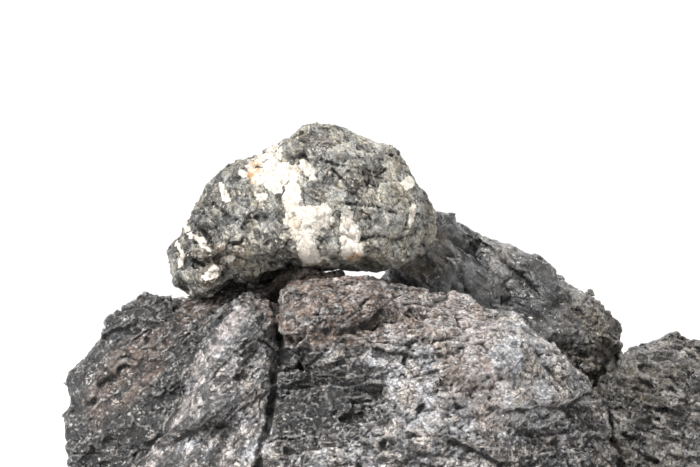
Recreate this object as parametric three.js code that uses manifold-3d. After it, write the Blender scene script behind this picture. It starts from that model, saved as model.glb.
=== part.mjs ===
// A pile of four rough, dark, quartz-veined stones, stacked as they lie: one broad stone in front,
// one on top of it, one standing behind and one at the right. Each stone is one solid.
// Millimetres, +Z up, +X to the right and -Y towards the front. The pile stands on z = 0.
import * as THREE from 'three';
import { mergeVertices } from 'three/addons/utils/BufferGeometryUtils.js';
import { ImprovedNoise } from 'three/addons/math/ImprovedNoise.js';
import Module from 'manifold-3d';

const wasm = await Module();
wasm.setup();

const restingGap = 0.35; // between two stones that touch
const floorCutDepth = 200; // how far below the floor the cutting block reaches
const outlineSteps = 720; // samples of each outline's smooth curve
const lumpSize = 42; // the size of the broad lumps on a stone's skin
const lumpOctaves = 4;
const lumpFading = 1.8; // how much weaker each finer size of lumps is
const edgeRoughness = 0.25; // share of the roughness left on the outline itself
const breakUnevenness = 0.45; // share of the break depth that changes from face to face
const breakRhythm = 2.4; // how fast it changes, in radians per face
const wornSharpness = 24; // how sharp the edge between two broken faces is
const skinWeldDistance = 1e-5; // on the unit sphere
const geometryWeldDistance = 1e-4;
const smallestAngle = 1e-9;
const goldenAngle = Math.PI * (3 - Math.sqrt(5));
const edgeOnLimit = 0.45; // broken faces turned less than this to the front or back are left out

// An outline is the stone's edge seen from the front, as [x, z] from the stone's heart, going round
// clockwise from the left. front and back say how far it bulges to each side of that edge, and
// fullness how squarely. A facet is a flat broken face: where it faces, and how far it is from the
// heart. A lump, with a height under 0 where it is a hollow, is a place [x, y, z] from the heart.
// A groove is a valley in the front, along a path of [x, z]. brokenFaces more facets are spread round
// the front and back, each cutting away up to breakDepth of the stone's reach.
const stones = [
  {
    name: 'front_stone',
    colour: 0x76726f,
    heart: [-50, 0, 85],
    outline: [
      [-171, 34], [-167, 54], [-160, 69], [-151, 81], [-142, 92], [-130, 97], [-115, 97], [-100, 94],
      [-87, 98], [-74, 102], [-58, 102], [-46, 100], [-43, 111], [-33, 118], [-18, 119], [-2, 113],
      [16, 106], [34, 103], [62, 100], [84, 94], [104, 88], [119, 77], [131, 62], [144, 51],
      [154, 38], [160, 22], [164, 6], [164, -12], [154, -50], [128, -92], [0, -112], [-132, -98],
      [-163, -46], [-171, -5],
    ],
    front: 96,
    back: 66,
    fullness: 2.5,
    facets: [
      { faces: [-0.42, -0.86, 0.3], reach: 98 },
      { faces: [0.16, -0.97, 0.16], reach: 91 },
      { faces: [0.66, -0.68, 0.3], reach: 124 },
      { faces: [-0.86, -0.46, 0.2], reach: 164 },
      { faces: [0.25, 0.9, 0.36], reach: 68 },
      { faces: [-0.45, 0.82, 0.35], reach: 104 },
      { faces: [0.1, -0.84, -0.53], reach: 106 },
    ],
    lumps: [
      { at: [-20, -66, 74], size: 30, height: 9 },
      { at: [-40, 34, 90], size: 26, height: 9 },
      { at: [-92, -66, 62], size: 26, height: 7 },
      { at: [-112, -50, 78], size: 16, height: -9 },
      { at: [-140, -60, 40], size: 30, height: 5 },
      { at: [-12, -92, 4], size: 26, height: -10 },
      { at: [38, -90, 6], size: 28, height: 6 },
    ],
    grooves: [
      { path: [[-44, 112], [-41, 66], [-34, 34], [-40, 2], [-47, -30], [-52, -84]], width: 9, depth: 15 },
      { path: [[-36, 44], [0, 56], [20, 62]], width: 8, depth: 8 },
    ],
    brokenFaces: 34,
    breakDepth: 0.1,
    roughness: 6,
    seed: 3.1,
    fineness: 15,
  },
  {
    name: 'back_stone',
    colour: 0x5f5c59,
    heart: [45, 100, 95],
    outline: [
      [-92, 20], [-82, 84], [-69, 100], [-52, 116], [-33, 128], [-25, 131], [-14, 128], [-1, 124],
      [7, 116], [19, 106], [29, 100], [39, 92], [51, 82], [61, 80], [71, 73], [80, 65], [88, 56],
      [90, 42], [87, 30], [84, -16], [74, -66], [52, -108], [-44, -112], [-76, -66], [-92, -20],
    ],
    front: 64,
    back: 62,
    fullness: 2.7,
    facets: [
      { faces: [0.16, -0.95, 0.26], reach: 72 },
      { faces: [-0.5, -0.84, 0.2], reach: 92 },
      { faces: [0.62, -0.7, 0.34], reach: 90 },
      { faces: [0.3, 0.8, 0.52], reach: 84 },
      { faces: [-0.3, 0.93, 0.2], reach: 66 },
    ],
    lumps: [
      { at: [-42, -46, 92], size: 34, height: 26 },
      { at: [20, -46, 78], size: 16, height: -6 },
      { at: [64, -32, 46], size: 22, height: 6 },
    ],
    grooves: [],
    brokenFaces: 26,
    breakDepth: 0.1,
    roughness: 5,
    seed: 11.7,
    fineness: 10,
  },
  {
    name: 'side_stone',
    colour: 0x5c5755,
    heart: [170, 25, 65],
    outline: [
      [-60, 44], [-57, 63], [-53, 77], [-45, 81], [-33, 86], [-19, 87], [-4, 85], [11, 80],
      [34, 70], [50, 50], [64, 24], [65, -14], [52, -60], [18, -84], [-36, -78], [-56, -42],
      [-62, 4],
    ],
    front: 62,
    back: 60,
    fullness: 2.5,
    facets: [
      { faces: [-0.2, -0.93, 0.3], reach: 58 },
      { faces: [0.5, -0.8, 0.3], reach: 60 },
      { faces: [0.7, 0.6, 0.4], reach: 66 },
      { faces: [-0.2, 0.9, 0.38], reach: 60 },
    ],
    lumps: [
      { at: [-30, -50, 40], size: 18, height: 6 },
      { at: [8, -54, 30], size: 16, height: -6 },
      { at: [-20, -54, -8], size: 20, height: 5 },
    ],
    grooves: [],
    brokenFaces: 26,
    breakDepth: 0.12,
    roughness: 5,
    seed: 23.9,
    fineness: 8,
  },
  {
    name: 'top_stone',
    colour: 0x8a8780,
    heart: [-75, 15, 235],
    outline: [
      [-84, -28], [-82, -22], [-76, -17], [-70, -12], [-70, -5], [-67, 1], [-60, 7], [-56, 15],
      [-49, 23], [-43, 28], [-35, 29], [-25, 35], [-17, 40], [-11, 44], [-3, 48], [8, 51],
      [17, 49], [33, 46], [45, 41], [57, 35], [62, 26], [66, 17], [72, 12], [76, 2], [78, -9],
      [76, -19], [71, -26], [64, -32], [53, -33], [38, -33], [25, -33], [18, -37], [9, -40],
      [0, -40], [-12, -46], [-24, -49], [-36, -50], [-50, -52], [-61, -53],
      [-66, -50], [-71, -45], [-76, -39], [-81, -34],
    ],
    front: 52,
    back: 56,
    fullness: 2.4,
    facets: [
      { faces: [-0.1, -0.95, 0.3], reach: 47 },
      { faces: [0.55, -0.8, 0.22], reach: 58 },
      { faces: [-0.6, -0.62, 0.5], reach: 60 },
      { faces: [0.2, -0.5, 0.84], reach: 58 },
      { faces: [0.1, 0.92, 0.38], reach: 53 },
      { faces: [-0.6, 0.7, 0.4], reach: 64 },
    ],
    lumps: [
      { at: [-66, -14, -34], size: 16, height: 6 },
      { at: [-24, 26, -42], size: 22, height: 8 },
      { at: [-16, -22, -48], size: 17, height: -20 },
      { at: [-34, -18, -50], size: 13, height: -16 },
      { at: [-58, -28, 0], size: 10, height: -4 },
      { at: [58, 30, -18], size: 26, height: 9 },
    ],
    grooves: [],
    brokenFaces: 30,
    breakDepth: 0.09,
    roughness: 3.5,
    seed: 31.3,
    fineness: 12,
  },
];

// The distance from the heart to a smooth closed outline, in each direction round it.
function outlineReach(points) {
  const corners = points.map(([x, z]) => new THREE.Vector3(x, z, 0));
  const curve = new THREE.CatmullRomCurve3(corners, true, 'centripetal');
  const samples = curve.getPoints(outlineSteps);
  const polar = samples.map((p) => ({ angle: Math.atan2(p.y, p.x), reach: Math.hypot(p.x, p.y) }));
  polar.sort((a, b) => a.angle - b.angle);
  polar.unshift({ angle: polar.at(-1).angle - 2 * Math.PI, reach: polar.at(-1).reach });
  polar.push({ angle: polar[1].angle + 2 * Math.PI, reach: polar[1].reach });
  return (angle) => {
    let low = 0;
    let high = polar.length - 1;
    while (high - low > 1) {
      const middle = (low + high) >> 1;
      if (polar[middle].angle <= angle) low = middle;
      else high = middle;
    }
    const span = Math.max(polar[high].angle - polar[low].angle, smallestAngle);
    return THREE.MathUtils.lerp(polar[low].reach, polar[high].reach, (angle - polar[low].angle) / span);
  };
}

// The outline's reach, closing in to the front or back bulge away from the outline's plane.
function bodyReach(stone, edgeReach, direction) {
  const bulge = direction.y < 0 ? stone.front : stone.back;
  const edge = edgeReach(Math.atan2(direction.z, direction.x));
  const inPlane = Math.hypot(direction.x, direction.z) / edge;
  const outOfPlane = Math.abs(direction.y) / bulge;
  return (inPlane ** stone.fullness + outOfPlane ** stone.fullness) ** (-1 / stone.fullness);
}

// The smaller of two reaches, with the corner between them slightly worn.
function wornMinimum(a, b) {
  return (a ** -wornSharpness + b ** -wornSharpness) ** (-1 / wornSharpness);
}

// Flat broken faces spread evenly round the front and back, as normals with their reach.
function brokenFaces(stone, bodyPoints) {
  const faces = [];
  for (let index = 0; index < stone.brokenFaces; index += 1) {
    const along = 1 - (2 * index + 1) / stone.brokenFaces;
    const across = Math.sqrt(1 - along * along);
    const turn = index * goldenAngle + stone.seed;
    const normal = new THREE.Vector3(across * Math.cos(turn), across * Math.sin(turn), along);
    if (Math.abs(normal.y) < edgeOnLimit) continue;
    const furthest = Math.max(...bodyPoints.map((point) => point.dot(normal)));
    const unevenness = breakUnevenness * (1 - Math.sin(index * breakRhythm + stone.seed));
    const depth = stone.breakDepth * (1 - unevenness);
    faces.push({ normal, reach: furthest * (1 - depth) });
  }
  return faces;
}

// How far a point in the front view, [x, z], is from a path of such points.
function distanceToPath(x, z, path) {
  let nearest = Infinity;
  for (let index = 1; index < path.length; index += 1) {
    const [startX, startZ] = path[index - 1];
    const [endX, endZ] = path[index];
    const alongX = endX - startX;
    const alongZ = endZ - startZ;
    const share = ((x - startX) * alongX + (z - startZ) * alongZ) / (alongX ** 2 + alongZ ** 2);
    const clamped = THREE.MathUtils.clamp(share, 0, 1);
    const distance = Math.hypot(x - startX - clamped * alongX, z - startZ - clamped * alongZ);
    nearest = Math.min(nearest, distance);
  }
  return nearest;
}

// Uneven lumps of several sizes, from -1 to 1.
function lumpiness(noise, point, seed) {
  let total = 0;
  for (let octave = 0; octave < lumpOctaves; octave += 1) {
    const scale = 2 ** octave / lumpSize;
    total += noise.noise(point.x * scale + seed, point.y * scale, point.z * scale) / lumpFading ** octave;
  }
  return total;
}

// One stone's closed surface, as a sphere's vertices moved out to its reach in each direction.
function stoneGeometry(stone) {
  const geometry = new THREE.IcosahedronGeometry(1, stone.fineness);
  geometry.deleteAttribute('normal');
  geometry.deleteAttribute('uv');
  const skin = mergeVertices(geometry, skinWeldDistance);
  const edgeReach = outlineReach(stone.outline);
  const noise = new ImprovedNoise();
  const positions = skin.getAttribute('position');
  const directions = [];
  for (let index = 0; index < positions.count; index += 1) {
    directions.push(new THREE.Vector3().fromBufferAttribute(positions, index).normalize());
  }
  const bodyPoints = directions.map((direction) => (
    direction.clone().multiplyScalar(bodyReach(stone, edgeReach, direction))));
  const facets = stone.facets.map((facet) => (
    { normal: new THREE.Vector3(...facet.faces).normalize(), reach: facet.reach }));
  facets.push(...brokenFaces(stone, bodyPoints));
  directions.forEach((direction, index) => {
    let reach = bodyPoints[index].length();
    for (const facet of facets) {
      const facing = direction.dot(facet.normal);
      if (facing > 0) reach = wornMinimum(reach, facet.reach / facing);
    }
    const point = direction.clone().multiplyScalar(reach);
    for (const lump of stone.lumps) {
      const distance = point.distanceTo(new THREE.Vector3(...lump.at));
      reach += lump.height * Math.exp(-((distance / lump.size) ** 2));
    }
    for (const groove of stone.grooves) {
      const frontShare = THREE.MathUtils.clamp(-point.y / groove.width, 0, 1);
      const distance = distanceToPath(point.x, point.z, groove.path);
      reach -= groove.depth * frontShare * Math.exp(-((distance / groove.width) ** 2));
    }
    const offEdge = Math.min(1, 2 * Math.abs(point.y) / stone.front + edgeRoughness);
    reach += stone.roughness * offEdge * lumpiness(noise, point, stone.seed);
    point.copy(direction).multiplyScalar(reach).add(new THREE.Vector3(...stone.heart));
    positions.setXYZ(index, point.x, point.y, point.z);
  });
  return skin;
}

function toSolid(geometry) {
  const vertProperties = new Float32Array(geometry.getAttribute('position').array);
  const triVerts = new Uint32Array(geometry.index.array);
  return new wasm.Manifold(new wasm.Mesh({ numProp: 3, vertProperties, triVerts }));
}

function toGeometry(solid) {
  const { vertProperties, triVerts } = solid.getMesh();
  const geometry = new THREE.BufferGeometry();
  geometry.setAttribute('position', new THREE.BufferAttribute(vertProperties, 3));
  geometry.setIndex(new THREE.BufferAttribute(triVerts, 1));
  return geometry;
}

// The same surface moved out along its normals, which keeps a gap to whatever it cuts.
function grown(geometry, distance) {
  const copy = mergeVertices(geometry.clone(), geometryWeldDistance);
  copy.computeVertexNormals();
  const positions = copy.getAttribute('position');
  const normals = copy.getAttribute('normal');
  const point = new THREE.Vector3();
  const normal = new THREE.Vector3();
  for (let index = 0; index < positions.count; index += 1) {
    point.fromBufferAttribute(positions, index);
    normal.fromBufferAttribute(normals, index);
    point.addScaledVector(normal, distance);
    positions.setXYZ(index, point.x, point.y, point.z);
  }
  copy.deleteAttribute('normal');
  return copy;
}

// Everything below the floor, which leaves each standing stone a flat bed to rest on.
function groundBlock(bounds) {
  const size = bounds.getSize(new THREE.Vector3()).addScalar(floorCutDepth);
  const block = new THREE.BoxGeometry(size.x, size.y, floorCutDepth);
  const centre = bounds.getCenter(new THREE.Vector3());
  block.translate(centre.x, centre.y, -floorCutDepth / 2);
  block.deleteAttribute('normal');
  block.deleteAttribute('uv');
  return toSolid(mergeVertices(block));
}

// Each stone is trimmed by the floor and by the stones placed before it.
function placedStones() {
  const placed = [];
  for (const stone of stones) {
    const geometry = stoneGeometry(stone);
    geometry.computeBoundingBox();
    let solid = toSolid(geometry).subtract(groundBlock(geometry.boundingBox));
    for (const earlier of placed) {
      solid = solid.subtract(toSolid(grown(earlier.geometry, restingGap)));
    }
    placed.push({ name: stone.name, colour: stone.colour, geometry: toGeometry(solid) });
  }
  return placed;
}

// The pile's origin is on the floor, below the middle of its bounding box.
const pile = new THREE.Group();
for (const { name, colour, geometry } of placedStones()) {
  const material = new THREE.MeshStandardMaterial({ color: colour, roughness: 0.7, metalness: 0 });
  const mesh = new THREE.Mesh(geometry, material);
  mesh.name = name;
  pile.add(mesh);
}
const middle = new THREE.Box3().setFromObject(pile).getCenter(new THREE.Vector3());
for (const mesh of pile.children) {
  mesh.geometry.translate(-middle.x, -middle.y, 0);
}

export default pile;
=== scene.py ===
import math

import bmesh
import bpy
import numpy as np
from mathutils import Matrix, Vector
from mathutils.bvhtree import BVHTree


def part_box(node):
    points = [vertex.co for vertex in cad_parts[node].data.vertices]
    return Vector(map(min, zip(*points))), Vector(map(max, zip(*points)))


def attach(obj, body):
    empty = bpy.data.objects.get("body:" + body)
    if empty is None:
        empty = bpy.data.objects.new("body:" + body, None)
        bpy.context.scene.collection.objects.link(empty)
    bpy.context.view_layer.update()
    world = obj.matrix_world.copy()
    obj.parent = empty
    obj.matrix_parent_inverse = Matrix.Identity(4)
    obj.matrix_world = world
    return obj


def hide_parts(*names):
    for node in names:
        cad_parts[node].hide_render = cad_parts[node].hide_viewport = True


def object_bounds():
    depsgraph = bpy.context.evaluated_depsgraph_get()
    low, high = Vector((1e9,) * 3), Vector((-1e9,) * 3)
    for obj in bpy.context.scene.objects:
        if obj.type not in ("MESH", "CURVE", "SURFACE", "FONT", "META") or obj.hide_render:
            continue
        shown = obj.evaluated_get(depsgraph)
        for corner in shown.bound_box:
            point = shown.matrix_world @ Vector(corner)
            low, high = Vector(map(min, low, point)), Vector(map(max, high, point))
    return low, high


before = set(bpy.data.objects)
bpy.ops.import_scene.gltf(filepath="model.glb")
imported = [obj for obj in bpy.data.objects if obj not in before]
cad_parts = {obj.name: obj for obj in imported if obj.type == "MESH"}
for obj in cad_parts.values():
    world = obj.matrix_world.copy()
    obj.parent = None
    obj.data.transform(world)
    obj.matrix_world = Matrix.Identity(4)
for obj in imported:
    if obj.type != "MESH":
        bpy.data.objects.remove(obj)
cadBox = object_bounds()
print("frame loaded:", sorted(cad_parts))

mm = 0.001               # sculpting is done in millimetres, Blender keeps metres
coarser = 1.0
scene = bpy.context.scene


# ---- camera, a long lens a little above the pile and straight in front of it

cameraSetup = {
    "lens": 85,
    "sensor": 36,
    "distance": 1.0,
    "elevation": 5,                     # degrees above the horizon
    "lookAt": (0.3766, 0.3706, 0.7731),  # shares of the pile's width, depth and height
}


def placeCamera(setup):
    low, high = cadBox
    share = setup["lookAt"]
    target = Vector([low[i] + (high[i] - low[i]) * share[i] for i in range(3)])
    angle = math.radians(setup["elevation"])
    away = Vector((0, -math.cos(angle), math.sin(angle)))
    data = bpy.data.cameras.new("camera")
    data.lens, data.sensor_width = setup["lens"], setup["sensor"]
    camera = bpy.data.objects.new("camera", data)
    camera.location = target + away * setup["distance"]
    camera.rotation_euler = (-away).to_track_quat("-Z", "Y").to_euler()
    scene.collection.objects.link(camera)
    scene.camera = camera


placeCamera(cameraSetup)


# ---- white floor and soft studio light, the strongest from the upper left

studio = {
    "floorRadius": 0.95,
    "floorColour": (0.88, 0.88, 0.88),
    "horizon": 1.1,                     # brightness of the white room level with the pile
    "ceiling": 0.38,                    # and overhead
    "horizonHeight": (0.2, 0.5),        # where the one fades into the other, as sines
    "lamps": [                          # name, place from the pile's middle, size, watts
        ("keyLamp", (-1.0, -0.9, 1.6), 0.5, 88),
        ("fillLamp", (1.5, -1.3, 0.8), 1.2, 7),
        ("rimLamp", (0.6, 1.4, 1.3), 1.0, 16),
    ],
}


def buildStudio(setup):
    bpy.ops.mesh.primitive_circle_add(vertices=96, radius=setup["floorRadius"], fill_type="NGON",
                                      location=(0, 0, -0.0002))
    floor = bpy.context.object
    floor.name = "floor"
    paper = bpy.data.materials.new("whitePaper")
    paper.use_nodes = True
    shader = paper.node_tree.nodes["Principled BSDF"]
    shader.inputs["Base Color"].default_value = (*setup["floorColour"], 1)
    shader.inputs["Roughness"].default_value = 0.9
    floor.data.materials.append(paper)
    world = bpy.data.worlds.new("whiteRoom")
    world.use_nodes = True
    tree = world.node_tree
    direction = tree.nodes.new("ShaderNodeTexCoord")
    parts = tree.nodes.new("ShaderNodeSeparateXYZ")
    steep = tree.nodes.new("ShaderNodeMath")
    steep.operation = "ABSOLUTE"
    fade = tree.nodes.new("ShaderNodeMapRange")
    fade.interpolation_type = "SMOOTHSTEP"
    for name, number in (("From Min", setup["horizonHeight"][0]), ("From Max", setup["horizonHeight"][1]),
                         ("To Min", setup["horizon"]), ("To Max", setup["ceiling"])):
        fade.inputs[name].default_value = number
    tree.links.new(direction.outputs["Generated"], parts.inputs[0])
    tree.links.new(parts.outputs["Z"], steep.inputs[0])
    tree.links.new(steep.outputs[0], fade.inputs["Value"])
    sky = tree.nodes["Background"]
    sky.inputs["Color"].default_value = (1, 1, 1, 1)
    tree.links.new(fade.outputs[0], sky.inputs["Strength"])
    scene.world = world
    middle = (Vector(cadBox[0]) + Vector(cadBox[1])) / 2
    for name, offset, size, watts in setup["lamps"]:
        lamp = bpy.data.lights.new(name, "AREA")
        lamp.size, lamp.energy = size, watts
        holder = bpy.data.objects.new(name, lamp)
        holder.location = middle + Vector(offset)
        holder.rotation_euler = (middle - holder.location).to_track_quat("-Z", "Y").to_euler()
        scene.collection.objects.link(holder)
    scene.view_settings.view_transform = "Standard"


buildStudio(studio)
print("camera and studio ready")


# ---- noise for sculpting: every function takes points in millimetres and a seed

hashStart = 0x2545F4914F6CDD1D
hashSteps = (0x9E3779B97F4A7C15, 0xC2B2AE3D27D4EB4F, 0x165667B19E3779F9)
hashMixers = (np.uint64(0xBF58476D1CE4E5B9), np.uint64(0x94D049BB133111EB))
hashBits = 21


def scattered(cells, seed):
    # three repeatable numbers from 0 to 1 for each whole-numbered cell
    mixed = np.full(cells.shape[:-1], (seed + 1) * hashStart % 2 ** 64, np.uint64)
    for axis in range(3):
        mixed += cells[..., axis].astype(np.uint64) * np.uint64(hashSteps[axis])
    mixed = (mixed ^ (mixed >> np.uint64(30))) * hashMixers[0]
    mixed = (mixed ^ (mixed >> np.uint64(27))) * hashMixers[1]
    mixed ^= mixed >> np.uint64(31)
    whole = 2 ** hashBits - 1
    return np.stack([((mixed >> np.uint64(hashBits * k)) & np.uint64(whole)) / whole
                     for k in range(3)], axis=-1)


def smoothNoise(points, size, seed):
    # gradient noise, about -0.7 to 0.7
    scaled = points / size + 0.37 * seed
    home = np.floor(scaled).astype(np.int64)
    part = scaled - home
    fade = part * part * part * (part * (part * 6 - 15) + 10)
    total = np.zeros(len(points))
    for corner in range(8):
        step = np.array([corner & 1, (corner >> 1) & 1, corner >> 2])
        slope = np.einsum("ij,ij->i", scattered(home + step, seed) * 2 - 1, part - step)
        weight = np.where(step == 1, fade, 1 - fade)
        total += slope * weight[:, 0] * weight[:, 1] * weight[:, 2]
    return total


def fractal(points, size, octaves, seed, keep=0.5):
    total, strength = np.zeros(len(points)), 1.0
    for octave in range(octaves):
        total += strength * smoothNoise(points, size / 2 ** octave, seed + octave)
        strength *= keep
    return total


def ridged(points, size, octaves, seed, keep=0.5):
    # sharp crests, 0 in the valleys and about 1 on the crests
    total, strength, whole = np.zeros(len(points)), 1.0, 0.0
    for octave in range(octaves):
        wave = 1 - np.abs(smoothNoise(points, size / 2 ** octave, seed + octave)) * 2.4
        total += strength * np.clip(wave, 0, 1) ** 2
        whole += strength
        strength *= keep
    return total / whole


def warped(points, size, amount, seed):
    drift = [fractal(points, size, 2, seed + 31 * k) for k in range(3)]
    return points + amount * np.stack(drift, axis=1)


def cellsOf(points, size, seed):
    # the two nearest of centres scattered one to a cube: their distances and which they are
    scaled = points / size
    home = np.floor(scaled).astype(np.int64)
    count = len(points)
    near, following = np.full(count, 9.0), np.full(count, 9.0)
    nearCell, nextCell = np.zeros((count, 3), np.int64), np.zeros((count, 3), np.int64)
    for index in range(27):
        cell = home + np.array([index % 3 - 1, index // 3 % 3 - 1, index // 9 - 1])
        distance = np.sqrt(((scaled - cell - scattered(cell, seed)) ** 2).sum(axis=1))
        first = distance < near
        second = (distance < following) & ~first
        following = np.where(first, near, np.where(second, distance, following))
        nextCell = np.where(first[:, None], nearCell, np.where(second[:, None], cell, nextCell))
        near = np.where(first, distance, near)
        nearCell = np.where(first[:, None], cell, nearCell)
    return near * size, following * size, nearCell, nextCell


def ramp(values, start, end):
    share = np.clip((values - start) / (end - start), 0, 1)
    return share * share * (3 - 2 * share)


def unit(vectors):
    return vectors / np.maximum(np.linalg.norm(vectors, axis=-1, keepdims=True), 1e-9)


def drawnOut(points, grain, along=0.4):
    # squeezed along the layers, so that noise taken here runs in long streaks with the grain
    across = unit(np.array(grain, float))
    return points * along + np.outer(points @ across, across) * (1 - along)


# ---- marks of breaking and weather, each returns how far every point moves out, in millimetres

def brokenPlanes(points, normals, size, flatness, tilt, seed, grain=None):
    # the surface in each scattered cell is pulled to one flat face, tilted a little at random
    ground = points if grain is None else drawnOut(points, grain, 0.6)
    ground = warped(ground, size * 1.3, size * 0.5, seed + 5)
    near, following, nearCell, nextCell = cellsOf(ground, size, seed)
    owners, member = np.unique(nearCell, axis=0, return_inverse=True)
    member = member.ravel()
    crowd = np.bincount(member)
    centre = np.stack([np.bincount(member, points[:, k]) / crowd for k in range(3)], axis=1)
    facing = np.stack([np.bincount(member, normals[:, k]) / crowd for k in range(3)], axis=1)
    facing = unit(unit(facing) + tilt * (scattered(owners, seed + 40) * 2 - 1))
    rowOf = {tuple(owner): row for row, owner in enumerate(owners)}
    keys, back = np.unique(nextCell, axis=0, return_inverse=True)
    rows = np.array([rowOf.get(tuple(key), -1) for key in keys])[back.ravel()]
    rows = np.where(rows < 0, member, rows)

    def toPlane(which):
        return -((points - centre[which]) * facing[which]).sum(axis=1)

    blend = 0.5 + 0.5 * ramp(following - near, 0, size * 0.07)
    move = toPlane(member) * blend + toPlane(rows) * (1 - blend)
    return np.clip(move * flatness, -size * 0.3, min(size * 0.2, 3.5))


def ledges(points, grain, spacing, depth, seed, sharp=3.0):
    # layers that each stand out a little past the next, along the stone's grain
    streaks = drawnOut(points, grain, 0.35)
    height = points @ unit(np.array(grain, float))
    level = (height / spacing + 0.9 * fractal(streaks, spacing * 4, 3, seed)
             + 0.3 * fractal(points, spacing * 1.5, 2, seed + 3))
    layer = np.floor(level).astype(np.int64)
    part = level - layer
    strength = scattered(np.stack([layer, layer * 0 + 3, layer * 0 + 7], axis=1), seed)[:, 0]
    patches = ramp(fractal(streaks, spacing * 3, 2, seed + 9), -0.3, 0.2)
    return depth * (part ** sharp - 1 / (sharp + 1)) * (0.3 + 0.9 * strength) * patches


def cracks(points, size, width, depth, seed, grain=None):
    # a net of thin cracks where two scattered cells meet, open only in places
    ground = points if grain is None else drawnOut(points, grain, 0.5)
    ground = warped(ground, size * 0.7, size * 0.3, seed + 2)
    near, following, _, _ = cellsOf(ground, size, seed)
    where = ramp(fractal(points, size * 2.2, 2, seed + 4), 0.0, 0.25)
    return -depth * np.exp(-((following - near) / width) ** 2) * where


def pathDistance(x, z, path):
    # distance to a path in the front view, positive on its left side, and the share gone along it
    path = np.array(path, float)
    spans = np.linalg.norm(path[1:] - path[:-1], axis=1)
    before = np.concatenate([[0], np.cumsum(spans)])
    best = np.full(len(x), 1e9)
    side, share = np.zeros(len(x)), np.zeros(len(x))
    for index, span in enumerate(spans):
        start, step = path[index], path[index + 1] - path[index]
        part = np.clip(((x - start[0]) * step[0] + (z - start[1]) * step[1]) / span ** 2, 0, 1)
        offX, offZ = x - start[0] - part * step[0], z - start[1] - part * step[1]
        distance = np.hypot(offX, offZ)
        closer = distance < best
        side = np.where(closer, np.sign(step[0] * offZ - step[1] * offX), side)
        share = np.where(closer, (before[index] + part * span) / before[-1], share)
        best = np.where(closer, distance, best)
    return best * side, share


def splitAlong(x, z, path, left, right, reach, crack, width):
    # a ledge along a path: the left side stands by left, the right by right, with a crack between
    distance, share = pathDistance(x, z, path)
    taper = ramp(share, 0.0, 0.1) * ramp(1 - share, 0.0, 0.1)
    fade = np.exp(-(distance / reach) ** 2) * taper
    step = right + (left - right) * ramp(distance, -1.5, 1.5)
    opened = taper * np.exp(-(distance / width) ** 2)
    return step * fade - crack * opened, opened


def blob(points, at, size, stretch=1.0, lean=0.0, seed=1, ragged=0.25):
    # 1 inside a ragged oval in the front view, falling to 0 over its edge
    turn = math.radians(lean)
    x, z = points[:, 0] - at[0], points[:, 2] - at[1]
    x, z = x * math.cos(turn) + z * math.sin(turn), z * math.cos(turn) - x * math.sin(turn)
    radius = np.hypot(x / stretch, z) / size
    inside = np.flatnonzero(radius < 1.15 + ragged)
    radius[inside] += ragged * fractal(points[inside], size * 0.9, 3, seed)
    return 1 - ramp(radius, 0.7, 1.15)


def patches(points, spots, ragged=0.25):
    # soft ovals added up, each given by place, size, stretch, lean, seed and strength
    return sum(strength * blob(points, at, size, stretch, lean, seed, ragged)
               for at, size, stretch, lean, seed, strength in spots)


# ---- a stone being sculpted: a fine copy of its CAD node, worked in rounds from broad to fine

allTrees = {name: BVHTree.FromPolygons([v.co for v in ob.data.vertices],
                                       [p.vertices for p in ob.data.polygons])
            for name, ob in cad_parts.items()}
neighbourReach = 8.0     # closer than this to another stone, nothing is pushed out into it
floorFade = 5.0          # over this height above the floor the marks fade in, so the beds stay flat


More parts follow.
